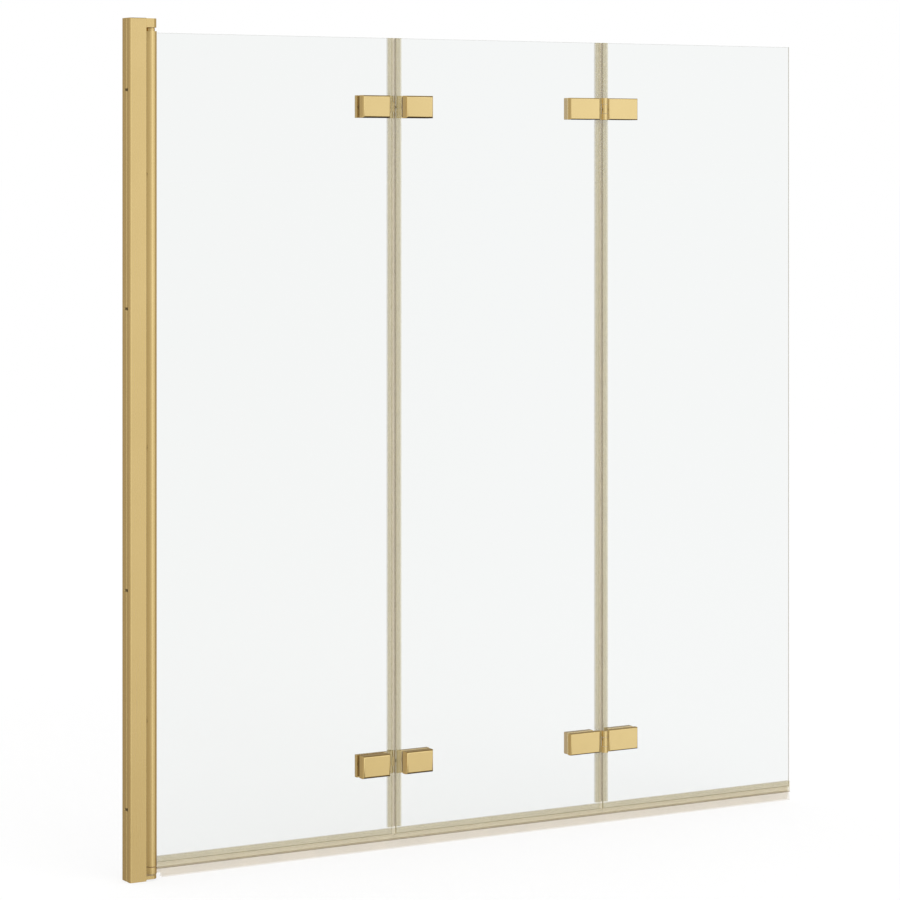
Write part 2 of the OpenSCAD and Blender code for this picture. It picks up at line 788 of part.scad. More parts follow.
// Places its children on the hinges of fold A (pins at the back) or B (pins at the front)
module at_fold_a(z) {
  translate([fold_a_x, 0, z]) mirror([0, 1, 0]) children();
}

module at_fold_b(z) {
  translate([fold_b_x, 0, z]) children();
}

// Turns a piece on the +X side over to the -X side
module before() {
  mirror([1, 0, 0]) children();
}

// Holes for the clamp screws: through with sunk heads from the back face at y = back
module through_holes(back) {
  sink_r = clamp_head_r + 2 * seat_fit;
  for (u = clamps) {
    hole_y(u, 0, clamp_pass_r, 0, back + over);
    translate([u, back - clamp_sink - 2 * seat_fit, 0]) rotate([-90, 0, 0]) {
      translate([0, 0, -clamp_head_h]) cylinder(r1 = clamp_pass_r, r2 = sink_r, h = clamp_head_h);
      cylinder(r = sink_r, h = over + clamp_sink);
    }
  }
}

// Blind tapped holes in the front piece, whose face is at y = -front
module blind_holes(front) {
  for (u = clamps) {
    hole_y(u, 0, clamp_hole_r, clamp_floor - front, 0);
  }
}

module clamp_screws(front, back) {
  for (u = clamps) {
    translate([u, back - clamp_sink, 0]) rotate([-90, 0, 0])
      sunk_screw(clamp_screw_d, clamp_head_r, clamp_head_h,
        back + front - clamp_sink - clamp_floor - clamp_tip_gap, clamp_key_d, clamp_key_deep);
  }
}

module pads() {
  for (side = [-1, 1]) {
    difference() {
      span(pad_inset, pad_far, side > 0 ? glass_y : -leaf_in_y,
        side > 0 ? leaf_in_y : -glass_y, pad_edge - hinge_h / 2, hinge_h / 2 - pad_edge);
      for (u = clamps) {
        hole_y(u, 0, glass_hole_d / 2, -leaf_in_y - over, leaf_in_y + over);
      }
    }
  }
}

// Leaf of fold A, which is the back piece of its clamp
module leaf_a(middle) {
  difference() {
    leaf(middle);
    mirror([0, 1, 0]) through_holes(leaf_out_y);
  }
}

module block_a() {
  difference() {
    block();
    mirror([0, 1, 0]) blind_holes(block_out_y);
  }
}

// Leaf of fold B, which is the front piece of its clamp
module leaf_b(middle) {
  difference() {
    leaf(middle);
    blind_holes(leaf_out_y);
  }
}

module block_b() {
  difference() {
    block();
    through_holes(block_out_y);
  }
}

module hinge_pin() {
  translate([0, -pin_y, 0]) rod(hinge_pin_d / 2, -hinge_h / 2, hinge_h / 2, pin_end_bevel);
}

module hinge_washers() {
  low = knuckle_mid_h / 2 + seat_fit;
  for (side = [0, 1]) {
    mirror([0, 0, side]) translate([0, -pin_y, 0])
      ring(knuckle_d / 2 - washer_inset, hinge_pin_d / 2 + seat_fit, low, low + knuckle_washer_t);
  }
}

module hinge_a_upper_leaf_1() {
  color(gold) at_fold_a(hinge_up_z) before() leaf_a(false);
}

module hinge_a_lower_leaf_1() {
  color(gold) at_fold_a(hinge_low_z) before() leaf_a(false);
}

module hinge_a_upper_block_1() {
  color(gold) at_fold_a(hinge_up_z) before() block_a();
}

module hinge_a_lower_block_1() {
  color(gold) at_fold_a(hinge_low_z) before() block_a();
}

module hinge_a_upper_pin() {
  color(gold_dark) at_fold_a(hinge_up_z) hinge_pin();
}

module hinge_a_lower_pin() {
  color(gold_dark) at_fold_a(hinge_low_z) hinge_pin();
}

module hinge_a_pads_1() {
  color(black_rubber) for (z = [hinge_low_z, hinge_up_z]) {
    at_fold_a(z) before() pads();
  }
}

module hinge_a_screws_1() {
  color(grey_steel) for (z = [hinge_low_z, hinge_up_z]) {
    translate([fold_a_x, 0, z]) before() clamp_screws(block_out_y, leaf_out_y);
  }
}

module hinge_a_washers() {
  color(white_nylon) for (z = [hinge_low_z, hinge_up_z]) {
    at_fold_a(z) hinge_washers();
  }
}

module hinge_a_upper_leaf_2() {
  color(gold) at_fold_a(hinge_up_z) leaf_a(true);
}

module hinge_a_lower_leaf_2() {
  color(gold) at_fold_a(hinge_low_z) leaf_a(true);
}

module hinge_a_upper_block_2() {
  color(gold) at_fold_a(hinge_up_z) block_a();
}

module hinge_a_lower_block_2() {
  color(gold) at_fold_a(hinge_low_z) block_a();
}

module hinge_a_pads_2() {
  color(black_rubber) for (z = [hinge_low_z, hinge_up_z]) {
    at_fold_a(z) pads();
  }
}

module hinge_a_screws_2() {
  color(grey_steel) for (z = [hinge_low_z, hinge_up_z]) {
    translate([fold_a_x, 0, z]) clamp_screws(block_out_y, leaf_out_y);
  }
}

module hinge_b_upper_leaf_2() {
  color(gold) at_fold_b(hinge_up_z) before() leaf_b(false);
}

module hinge_b_lower_leaf_2() {
  color(gold) at_fold_b(hinge_low_z) before() leaf_b(false);
}

module hinge_b_upper_block_2() {
  color(gold) at_fold_b(hinge_up_z) before() block_b();
}

module hinge_b_lower_block_2() {
  color(gold) at_fold_b(hinge_low_z) before() block_b();
}

module hinge_b_upper_pin() {
  color(gold_dark) at_fold_b(hinge_up_z) hinge_pin();
}

module hinge_b_lower_pin() {
  color(gold_dark) at_fold_b(hinge_low_z) hinge_pin();
}

module hinge_b_pads_2() {
  color(black_rubber) for (z = [hinge_low_z, hinge_up_z]) {
    at_fold_b(z) before() pads();
  }
}

module hinge_b_screws_2() {
  color(grey_steel) for (z = [hinge_low_z, hinge_up_z]) {
    at_fold_b(z) before() clamp_screws(leaf_out_y, block_out_y);
  }
}

module hinge_b_washers() {
  color(white_nylon) for (z = [hinge_low_z, hinge_up_z]) {
    at_fold_b(z) hinge_washers();
  }
}

module hinge_b_upper_leaf_3() {
  color(gold) at_fold_b(hinge_up_z) leaf_b(true);
}

module hinge_b_lower_leaf_3() {
  color(gold) at_fold_b(hinge_low_z) leaf_b(true);
}

module hinge_b_upper_block_3() {
  color(gold) at_fold_b(hinge_up_z) block_b();
}

module hinge_b_lower_block_3() {
  color(gold) at_fold_b(hinge_low_z) block_b();
}

module hinge_b_pads_3() {
  color(black_rubber) for (z = [hinge_low_z, hinge_up_z]) {
    at_fold_b(z) pads();
  }
}

module hinge_b_screws_3() {
  color(grey_steel) for (z = [hinge_low_z, hinge_up_z]) {
    at_fold_b(z) clamp_screws(leaf_out_y, block_out_y);
  }
}

wall_profile();
adjust_profile();
top_cap();
top_bracket();
bottom_bracket();
top_pivot_pin();
bottom_pivot_pin();
foot_collar();
foot_washer();
locking_screws();
locking_screw_covers();
bracket_screws();
pivot_wiper_seal();
pivot_profile();
top_collar();
top_bush();
bottom_bush();
glazing_gasket();
glass_1();
bottom_seal_1();
joint_seal_a_1();
hinge_a_upper_leaf_1();
hinge_a_lower_leaf_1();
hinge_a_upper_block_1();
hinge_a_lower_block_1();
hinge_a_upper_pin();
hinge_a_lower_pin();
hinge_a_pads_1();
hinge_a_screws_1();
hinge_a_washers();
glass_2();
bottom_seal_2();
joint_seal_a_2();
joint_seal_b_2();
hinge_a_upper_leaf_2();
hinge_a_lower_leaf_2();
hinge_a_upper_block_2();
hinge_a_lower_block_2();
hinge_a_pads_2();
hinge_a_screws_2();
hinge_b_upper_leaf_2();
hinge_b_lower_leaf_2();
hinge_b_upper_block_2();
hinge_b_lower_block_2();
hinge_b_upper_pin();
hinge_b_lower_pin();
hinge_b_pads_2();
hinge_b_screws_2();
hinge_b_washers();
glass_3();
bottom_seal_3();
joint_seal_b_3();
hinge_b_upper_leaf_3();
hinge_b_lower_leaf_3();
hinge_b_upper_block_3();
hinge_b_lower_block_3();
hinge_b_pads_3();
hinge_b_screws_3();
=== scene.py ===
import json
import math

import bpy
from mathutils import Matrix, Vector

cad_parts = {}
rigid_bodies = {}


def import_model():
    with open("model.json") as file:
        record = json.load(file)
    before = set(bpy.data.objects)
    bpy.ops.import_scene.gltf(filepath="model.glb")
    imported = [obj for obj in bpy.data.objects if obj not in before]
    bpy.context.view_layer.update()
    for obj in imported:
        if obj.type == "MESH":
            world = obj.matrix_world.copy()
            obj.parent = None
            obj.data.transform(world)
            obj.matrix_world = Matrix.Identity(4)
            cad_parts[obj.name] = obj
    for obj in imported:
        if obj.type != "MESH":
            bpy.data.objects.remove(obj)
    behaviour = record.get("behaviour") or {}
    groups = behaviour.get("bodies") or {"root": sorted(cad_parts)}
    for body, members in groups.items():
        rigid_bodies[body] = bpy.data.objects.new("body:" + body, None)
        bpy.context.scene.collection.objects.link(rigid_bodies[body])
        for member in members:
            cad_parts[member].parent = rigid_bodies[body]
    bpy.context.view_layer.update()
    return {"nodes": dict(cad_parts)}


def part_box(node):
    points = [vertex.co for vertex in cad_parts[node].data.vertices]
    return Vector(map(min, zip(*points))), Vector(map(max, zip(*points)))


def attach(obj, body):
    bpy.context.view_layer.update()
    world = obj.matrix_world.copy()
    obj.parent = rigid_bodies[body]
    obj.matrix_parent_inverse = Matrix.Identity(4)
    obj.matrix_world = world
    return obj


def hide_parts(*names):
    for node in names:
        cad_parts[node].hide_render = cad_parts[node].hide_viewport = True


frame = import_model()


# Camera. It stands in front of the screen and to the left, past the wall, level and with a long
# lens. The lens is shifted down, so that the upright edges stay upright in the picture.

camera_data = bpy.data.cameras.new("camera")
camera_data.lens = 125.285
camera_data.sensor_width = 36
camera_data.shift_y = -0.3159
camera_data.clip_end = 200
camera = bpy.data.objects.new("camera", camera_data)
camera.location = (-2.0378, -4.6, 1.1437)
camera.rotation_euler = (math.radians(90), 0, math.radians(-29.8))
bpy.context.scene.collection.objects.link(camera)
bpy.context.scene.camera = camera


# Studio. A pale floor runs out into a white room, and a wide soft light stands in front. Polished
# metal sees that room as a photographer sets it: a white screen in front, warm darker walls at the
# sides and behind, a bright ceiling and a floor that is bright only close by.


def node_in(tree, kind, links=None, **settings):
    """Adds a node, sets its attributes, and joins or fills the sockets named in links."""
    made = tree.nodes.new(kind)
    for key, value in settings.items():
        setattr(made, key, value)
    for socket, value in (links or {}).items():
        if isinstance(value, bpy.types.NodeSocket):
            tree.links.new(value, made.inputs[socket])
        else:
            made.inputs[socket].default_value = value
    return made


def math_in(tree, operation, *values):
    """Adds one sum over sockets and numbers."""
    links = dict(enumerate(values))
    return node_in(tree, "ShaderNodeMath", links, operation=operation).outputs[0]


def ramp_in(tree, factor, stops):
    """Adds a ramp over (position, grey or colour) stops."""
    made = node_in(tree, "ShaderNodeValToRGB", {0: factor})
    while len(made.color_ramp.elements) < len(stops):
        made.color_ramp.elements.new(0.5)
    for element, (position, tint) in zip(made.color_ramp.elements, stops):
        element.position = position
        element.color = (*tint, 1) if isinstance(tint, tuple) else (tint, tint, tint, 1)
    return made.outputs[0]


world = bpy.data.worlds.new("studio")
world.use_nodes = True
bpy.context.scene.world = world
sky = world.node_tree
sky.nodes.clear()
gaze = node_in(sky, "ShaderNodeTexCoord").outputs["Generated"]
right, back, up = node_in(sky, "ShaderNodeSeparateXYZ", {0: gaze}).outputs
turn = math_in(sky, "ARCTAN2", right, math_in(sky, "MULTIPLY", back, -1.0))
round_the_room = math_in(sky, "MULTIPLY_ADD", turn, 0.5 / math.pi, 0.5)
# How bright the room is all round, from the back by the wall side, the front and the far side
level_glow = ramp_in(
    sky,
    round_the_room,
    [
        (0.0, 0.58),
        (0.05, 0.45),
        (0.067, 0.42),
        (0.083, 0.55),
        (0.3, 0.64),
        (0.417, 0.79),
        (0.48, 1.1),
        (0.527, 1.2),
        (0.545, 0.92),
        (0.567, 0.79),
        (0.579, 0.91),
        (0.592, 1.08),
        (0.605, 1.1),
        (0.635, 0.7),
        (0.697, 0.5),
        (0.8, 0.54),
        (0.87, 0.62),
        (0.917, 0.3),
        (0.96, 0.5),
    ],
)
# How much of that is left from straight below to straight above
height = math_in(sky, "MULTIPLY_ADD", up, 0.5, 0.5)
height_share = ramp_in(
    sky,
    height,
    [
        (0.0, 0.55),
        (0.12, 0.45),
        (0.2, 0.2),
        (0.27, 0.09),
        (0.32, 0.3),
        (0.35, 0.55),
        (0.375, 0.82),
        (0.39, 0.895),
        (0.42, 0.93),
        (0.475, 1.0),
        (0.6, 1.02),
        (0.75, 1.12),
        (0.85, 0.75),
        (0.91, 0.42),
        (1.0, 0.32),
    ],
)
brightest = 1.25
room_glow = math_in(sky, "MULTIPLY", level_glow, height_share)
room_colour = ramp_in(
    sky,
    math_in(sky, "DIVIDE", room_glow, brightest),
    [
        (0.0, (0.0, 0.0, 0.0)),
        (0.08, (0.072, 0.0584, 0.04)),
        (0.384, (0.384, 0.34, 0.268)),
        (0.512, (0.512, 0.488, 0.432)),
        (0.64, (0.64, 0.624, 0.584)),
        (0.8, (0.8, 0.824, 0.864)),
        (1.0, (0.96, 0.985, 1.0)),
    ],
)
# Rays that come off metal see this room, and all others, also through glass, see plain white
ray = node_in(sky, "ShaderNodeLightPath")
not_through_glass = math_in(sky, "SUBTRACT", 1.0, ray.outputs["Is Transmission Ray"])
off_metal = math_in(sky, "MULTIPLY", ray.outputs["Is Glossy Ray"], not_through_glass)
seen_by_metal = node_in(
    sky, "ShaderNodeBackground", {"Color": room_colour, "Strength": brightest}
)
white = (1, 1, 1, 1)
seen_else = node_in(sky, "ShaderNodeBackground", {"Color": white, "Strength": 1.0})
room = node_in(
    sky,
    "ShaderNodeMixShader",
    {0: off_metal, 1: seen_else.outputs[0], 2: seen_by_metal.outputs[0]},
)
node_in(sky, "ShaderNodeOutputWorld", {"Surface": room.outputs[0]})

under_the_screen = (0, 0, -0.0005)
bpy.ops.mesh.primitive_plane_add(size=400, location=under_the_screen)
floor = bpy.context.object
floor.name = "floor"
floor.visible_glossy = False
floor_paint = bpy.data.materials.new("floor_paint")
floor_paint.use_nodes = True
paint = floor_paint.node_tree
paint.nodes.clear()
matt = node_in(paint, "ShaderNodeBsdfDiffuse", {"Color": (0.22, 0.22, 0.22, 1)})
shine = node_in(paint, "ShaderNodeEmission", {"Color": white, "Strength": 0.78})
both = node_in(paint, "ShaderNodeAddShader", {0: matt.outputs[0], 1: shine.outputs[0]})
node_in(paint, "ShaderNodeOutputMaterial", {"Surface": both.outputs[0]})
floor.data.materials.append(floor_paint)

light_data = bpy.data.lights.new("soft_light", "AREA")
light_data.shape = "RECTANGLE"
light_data.size = 4
light_data.size_y = 3
light_data.energy = 60
soft_light = bpy.data.objects.new("soft_light", light_data)
soft_light.location = (1.4, -4.5, 3.6)
aim = Vector((0.6, 0, 0.7)) - soft_light.location
soft_light.rotation_euler = aim.to_track_quat("-Z", "Y").to_euler()
soft_light.visible_glossy = False
bpy.context.scene.collection.objects.link(soft_light)
bpy.context.scene.view_settings.view_transform = "Standard"


# Gold anodised aluminium. Drawn bars with fine die lines along their length, satin etched and
# dyed gold before the oxide is sealed, so the tone drifts a little from place to place.


def principled(name, **sockets):
    """A new material with one Principled shader, and that shader and its tree."""
    made = bpy.data.materials.new(name)
    made.use_nodes = True
    shader = made.node_tree.nodes["Principled BSDF"]
    for socket, value in sockets.items():
        shader.inputs[socket.replace("_", " ")].default_value = value
    return made, shader, made.node_tree


def noise_in(tree, place, scale, detail=2.0):
    """Adds noise over a place, whose scale is one number or one for each axis, per metre."""
    if isinstance(scale, tuple):
        place = node_in(tree, "ShaderNodeMapping", {"Vector": place, "Scale": scale}).outputs[0]
        scale = 1.0
    return node_in(
        tree, "ShaderNodeTexNoise", {"Vector": place, "Scale": scale, "Detail": detail}
    ).outputs["Fac"]


def spread_in(tree, value, low, high, out_low, out_high):
    """Adds a remap of low..high to out_low..out_high."""
    return node_in(
        tree, "ShaderNodeMapRange", {"Value": value, 1: low, 2: high, 3: out_low, 4: out_high}
    ).outputs[0]


def bump_in(tree, height, distance, under=None):
    """Adds bumps as high as distance metres, over another bump if one is given."""
    links = {"Height": height, "Strength": 1.0, "Distance": distance}
    if under is not None:
        links["Normal"] = under
    return node_in(tree, "ShaderNodeBump", links).outputs[0]


def anodised(name, die_lines, tints, roughness):
    """Gold with die lines, whose pattern has the given scale along X, Y and Z, per metre."""
    made, shader, tree = principled(name, Metallic=1.0)
    place = node_in(tree, "ShaderNodeTexCoord").outputs["Object"]
    lines = noise_in(tree, place, die_lines, 3.0)
    etch = noise_in(tree, place, 5200.0, 1.0)
    cloud = noise_in(tree, place, 9.0)
    handled = noise_in(tree, place, 60.0, 4.0)
    tint = ramp_in(tree, cloud, [(0.3, tints[0]), (0.7, tints[1])])
    tree.links.new(tint, shader.inputs["Base Color"])
    satin = spread_in(tree, lines, 0.3, 0.7, *roughness)
    worn = spread_in(tree, handled, 0.5, 0.8, 0.0, 0.03)
    tree.links.new(math_in(tree, "ADD", satin, worn), shader.inputs["Roughness"])
    fine = bump_in(tree, etch, 0.000004)
    tree.links.new(bump_in(tree, lines, 0.00002, under=fine), shader.inputs["Normal"])
    return made


gold_tints = ((0.785, 0.587, 0.262), (0.815, 0.612, 0.279))
gold_upright = anodised("gold_upright", (2600, 2600, 9), gold_tints, (0.2, 0.28))
gold_turned = anodised("gold_turned", (900, 900, 2600), gold_tints, (0.2, 0.3))


def finish(node, material):
    """Gives a node of the frame its material."""
    slots = frame["nodes"][node].data.materials
    slots.clear()
    slots.append(material)


def touch_up(nodes, material, chosen):
    """Gives the chosen faces of some nodes of the frame another material."""
    for node in nodes:
        part = frame["nodes"][node].data
        part.materials.append(material)
        for face in part.polygons:
            if chosen(face):
                face.material_index = len(part.materials) - 1


def ease_edges(node, width):
    """Rounds the sharp edges of a node of the frame, which stays as the frame has it."""
    part = frame["nodes"][node]
    part.data.polygons.foreach_set("use_smooth", [True] * len(part.data.polygons))
    weld = part.modifiers.new("weld", "WELD")
    weld.merge_threshold = 0.00001
    bevel = part.modifiers.new("edges", "BEVEL")
    bevel.width = width
    bevel.segments = 3
    bevel.limit_method = "ANGLE"
    bevel.angle_limit = math.radians(35)
    shading = part.modifiers.new("shading", "WEIGHTED_NORMAL")
    shading.mode = "FACE_AREA_WITH_ANGLE"


eased = 0.0003
for name in ("wall_profile", "adjust_profile", "top_cap", "pivot_profile"):
    finish(name, gold_upright)
    ease_edges(name, eased)

# The insides of the two channels are left dull from the mill; their near-black colour is painted
# shade, as they lie in the dark
mill_dark, shader, tree = principled("mill_dark", Specular_IOR_Level=0.15)
place = node_in(tree, "ShaderNodeTexCoord").outputs["Object"]
mill_lines = noise_in(tree, place, (900, 900, 12), 3.0)
tint = ramp_in(tree, mill_lines, [(0.3, (0.012, 0.007, 0.004)), (0.7, (0.022, 0.014, 0.008))])
tree.links.new(tint, shader.inputs["Base Color"])
tree.links.new(spread_in(tree, mill_lines, 0.3, 0.7, 0.55, 0.75), shader.inputs["Roughness"])
tree.links.new(bump_in(tree, mill_lines, 0.00003), shader.inputs["Normal"])
for name, near_x, far_x, half_y in (
    ("wall_profile", 0.0012, 0.0285, 0.0143),
    ("adjust_profile", 0.0, 0.0269, 0.0125),
):
    touch_up(
        [name],
        mill_dark,
        lambda face: near_x < face.center.x < far_x and abs(face.center.y) < half_y,
    )

for name in ("top_bracket", "bottom_bracket", "foot_collar", "top_collar", "locking_screw_covers"):
    finish(name, gold_turned)
    ease_edges(name, eased)


# Hinges. Die-cast brass leaves and blocks, polished and plated gold, clamped over the glass.
# Joint A has its knuckles at the back and joint B at the front, each round one pin.

cast_grain = (700, 700, 700)
polished = (0.16, 0.21)
hinge_tints = ((0.82, 0.622, 0.285), (0.845, 0.645, 0.3))
gold_hinge = anodised("gold_hinge", cast_grain, hinge_tints, polished)
hinge_parts = [name for name in frame["nodes"] if name.startswith("hinge_")]
leaves_a = [name for name in hinge_parts if "hinge_a" in name and "_leaf_" in name]
leaves_b = [name for name in hinge_parts if "hinge_b" in name and "_leaf_" in name]
blocks = [name for name in hinge_parts if "_block_" in name]
pins = [name for name in hinge_parts if name.endswith("_pin")]
for name in leaves_a + leaves_b + blocks + pins:
    finish(name, gold_hinge)
for name in leaves_a + leaves_b + blocks:
    ease_edges(name, eased)

# Each fold lies half way between two panes
fold_a_x = (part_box("glass_1")[1].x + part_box("glass_2")[0].x) / 2
fold_b_x = (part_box("glass_2")[1].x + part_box("glass_3")[0].x) / 2

# The grooves beside the front knuckles get a darker gold: painted shade for these recesses
groove_shade_tints = ((0.46, 0.34, 0.14), (0.5, 0.375, 0.155))
gold_groove = anodised("gold_groove", cast_grain, groove_shade_tints, (0.3, 0.4))
groove_y = -0.0106
close_by = 0.0001
touch_up(leaves_b, gold_groove, lambda face: abs(face.center.y - groove_y) < close_by)

# The knuckles at the back of joint A get a lighter gold than the flat faces: painted light that
# brightens them where little light reaches them
knuckle_lit_tints = ((0.84, 0.69, 0.43), (0.9, 0.75, 0.48))
gold_knuckle = anodised("gold_knuckle", cast_grain, knuckle_lit_tints, polished)
knuckle_reach = 0.0141
touch_up(leaves_a, gold_knuckle, lambda face: abs(face.center.x - fold_a_x) < knuckle_reach)

# The undersides are dull, and their dark colour is painted shade under the hinges
underside_shade_tints = ((0.13, 0.085, 0.03), (0.16, 0.105, 0.04))
gold_under = anodised("gold_under", cast_grain, underside_shade_tints, (0.35, 0.45))
facing_down = -0.4
touch_up(leaves_a + leaves_b + blocks, gold_under, lambda face: face.normal.z < facing_down)


# Glass. Clear tempered panes, 5 mm thick, with ground and polished edges.
# The panes look a little green through their edges, which keep fine grinding lines.

glass, shader, tree = principled("clear_glass", Transmission_Weight=1.0, IOR=1.58)
coordinates = node_in(tree, "ShaderNodeTexCoord")
across = node_in(tree, "ShaderNodeSeparateXYZ", {0: coordinates.outputs["Normal"]}).outputs[1]
face_normal = 0.95
on_edge = math_in(tree, "LESS_THAN", math_in(tree, "ABSOLUTE", across), face_normal)
tint = ramp_in(tree, on_edge, [(0.0, (0.912, 0.926, 0.92)), (1.0, (0.88, 0.92, 0.91))])
tree.links.new(tint, shader.inputs["Base Color"])
ground = noise_in(tree, coordinates.outputs["Object"], (40, 6000, 40), 1.0)
frosting = math_in(tree, "MULTIPLY", on_edge, spread_in(tree, ground, 0.35, 0.65, 0.02, 0.12))
tree.links.new(frosting, shader.inputs["Roughness"])
for name in ("glass_1", "glass_2", "glass_3"):
    finish(name, glass)
    frame["nodes"][name].visible_glossy = False


# Seals. Soft vinyl drawn through a die, beige and a little milky, and pushed over the glass edges;
# noses and lips of a softer, clearer kind are drawn on with it, and dark brown strips and ties of
# painted shade stand in the shadow lines. One tree runs each section, drawn in millimetres, along
# its seal.


def vinyl(name, die_lines, tints, alpha, depth_tint, density):
    """Milky vinyl with die lines; it grows darker by depth_tint the further light goes in it."""
    made, shader, tree = principled(name, IOR=1.5, Alpha=alpha)
    place = node_in(tree, "ShaderNodeTexCoord").outputs["Object"]
    lines = noise_in(tree, place, die_lines)
    cloud = noise_in(tree, place, 40.0)
    milk = math_in(tree, "MULTIPLY", math_in(tree, "ADD", lines, cloud), 0.5)
    tint = ramp_in(tree, milk, [(0.35, tints[0]), (0.65, tints[1])])
    tree.links.new(tint, shader.inputs["Base Color"])
    tree.links.new(spread_in(tree, lines, 0.3, 0.7, 0.28, 0.42), shader.inputs["Roughness"])
    tree.links.new(bump_in(tree, lines, 0.00006), shader.inputs["Normal"])
    depth = node_in(
        tree, "ShaderNodeVolumeAbsorption", {"Color": (*depth_tint, 1), "Density": density}
    )
    tree.links.new(depth.outputs[0], tree.nodes["Material Output"].inputs["Volume"])
    return made


seal_tints = ((0.46, 0.38, 0.065), (0.54, 0.45, 0.095))
level_tints = ((0.5, 0.41, 0.1), (0.62, 0.52, 0.15))
lip_tints = ((0.44, 0.33, 0.15), (0.68, 0.52, 0.26))
nose_tints = ((0.6, 0.5, 0.25), (0.68, 0.56, 0.3))
# Dark brown tints for the strips and ties, which are painted shade
painted_shade_strip_tints = ((0.2, 0.13, 0.055), (0.25, 0.165, 0.07))
depth_tint = (0.437, 0.285, 0.03)
upright = (1800, 1800, 5)
level = (5, 1100, 1100)
upright_vinyl = vinyl("upright_vinyl", upright, seal_tints, 0.15, depth_tint, 80.0)
level_vinyl = vinyl("level_vinyl", level, level_tints, 0.15, depth_tint, 62.0)
soft_lip_vinyl = vinyl("soft_lip_vinyl", level, lip_tints, 0.1, depth_tint, 60.0)
soft_nose_vinyl = vinyl("soft_nose_vinyl", upright, nose_tints, 0.1, depth_tint, 25.0)
# The strips and ties are dark brown: painted shade for the shadow lines where the upright seals
# part and above the bottom lips
brown_strip_vinyl = vinyl("brown_strip_vinyl", upright, painted_shade_strip_tints, 0.2, depth_tint, 80.0)
brown_tie_vinyl = vinyl("brown_tie_vinyl", level, painted_shade_strip_tints, 0.3, depth_tint, 80.0)


def geometry_tree(name, inputs):
    """A Geometry Nodes tree with named inputs, given as (name, kind, value), and their sockets."""
    tree = bpy.data.node_groups.new(name, "GeometryNodeTree")
    tree.interface.new_socket("Geometry", in_out="OUTPUT", socket_type="NodeSocketGeometry")
    tree.interface.new_socket("Geometry", in_out="INPUT", socket_type="NodeSocketGeometry")
    for label, kind, value in inputs:
        socket = tree.interface.new_socket(label, in_out="INPUT", socket_type="NodeSocket" + kind)
        if value is not None:
            socket.default_value = value
    return tree, tree.nodes.new("NodeGroupInput").outputs


def joined_in(tree, *parts):
    """Joins pieces of geometry."""
    both = tree.nodes.new("GeometryNodeJoinGeometry")
    for part in parts:
        tree.links.new(part, both.inputs[0])
    return both.outputs[0]


def end_tree(tree, geometry, material):
    """Ends a tree: its copies become real geometry, which gets its material."""
    geometry = node_in(tree, "GeometryNodeRealizeInstances", {0: geometry}).outputs[0]
    geometry = node_in(
        tree, "GeometryNodeSetMaterial", {"Geometry": geometry, "Material": material}
    ).outputs[0]
    node_in(tree, "NodeGroupOutput", {0: geometry})


def grown(base, tree, **inputs):
    """The plain mesh that a tree grows on a base object, which is used up."""
    bpy.context.scene.collection.objects.link(base)
    nodes = base.modifiers.new("grow", "NODES")
    nodes.node_group = tree
    for item in tree.interface.items_tree:
        if item.in_out == "INPUT" and item.name.replace(" ", "_") in inputs:
            nodes[item.identifier] = inputs[item.name.replace(" ", "_")]
    ready = base.evaluated_get(bpy.context.evaluated_depsgraph_get())
    mesh = bpy.data.meshes.new_from_object(ready)
    bpy.data.objects.remove(base)
    return mesh


def fitted(name, mesh, body, slot, *nodes):
    """Makes a mesh a piece that rides on a body and stands for nodes of the frame."""
    mesh.polygons.foreach_set("use_smooth", [True] * len(mesh.polygons))
    mesh.set_sharp_from_angle(angle=math.radians(32))
    piece = bpy.data.objects.new(name, mesh)
    bpy.context.scene.collection.objects.link(piece)
    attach(piece, body)
    if nodes:
        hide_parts(*nodes)


drawn_bar, given = geometry_tree(
    "drawn_bar",
    [
        ("Length", "Float", 1.0),
        ("Stations", "Int", 2),
        ("Corner Radius", "Float", 0.0003),
        ("Corner Steps", "Int", 3),
        ("Waves Below", "Float", -1.0),
        ("Waves", "Float", 0.0),
        ("Seed", "Int", 7),
        ("Material", "Material", None),
    ],
)
rounded = node_in(
    drawn_bar,
    "GeometryNodeFilletCurve",
    {
        "Curve": given["Geometry"],
        "Count": given["Corner Steps"],
        "Radius": given["Corner Radius"],
        "Limit Radius": True,
    },
    mode="POLY",
).outputs[0]
far_end = node_in(drawn_bar, "ShaderNodeCombineXYZ", {"Z": given["Length"]}).outputs[0]
path = node_in(drawn_bar, "GeometryNodeCurvePrimitiveLine", {"End": far_end}).outputs[0]
path = node_in(
    drawn_bar, "GeometryNodeResampleCurve", {"Curve": path, "Count": given["Stations"]}
).outputs[0]
skin = node_in(
    drawn_bar, "GeometryNodeCurveToMesh", {"Curve": path, "Profile Curve": rounded}
).outputs[0]
cut_end = node_in(drawn_bar, "GeometryNodeFillCurve", {"Curve": rounded}).outputs[0]
near_cap = node_in(drawn_bar, "GeometryNodeFlipFaces", {"Mesh": cut_end}).outputs[0]
far_cap = node_in(
    drawn_bar, "GeometryNodeTransform", {"Geometry": cut_end, "Translation": far_end}
).outputs[0]
bar = node_in(
    drawn_bar,
    "GeometryNodeMergeByDistance",
    {"Geometry": joined_in(drawn_bar, skin, near_cap, far_cap), "Distance": 0.000001},
).outputs[0]
spot = node_in(drawn_bar, "GeometryNodeInputPosition").outputs[0]
side, height, along = node_in(drawn_bar, "ShaderNodeSeparateXYZ", {0: spot}).outputs
below = math_in(drawn_bar, "SUBTRACT", given["Waves Below"], height)
outward = math_in(drawn_bar, "SIGN", side)
apart = math_in(drawn_bar, "MULTIPLY", outward, 5.0)
wave_place = node_in(
    drawn_bar, "ShaderNodeCombineXYZ", {"X": apart, "Y": given["Seed"], "Z": along}
).outputs[0]
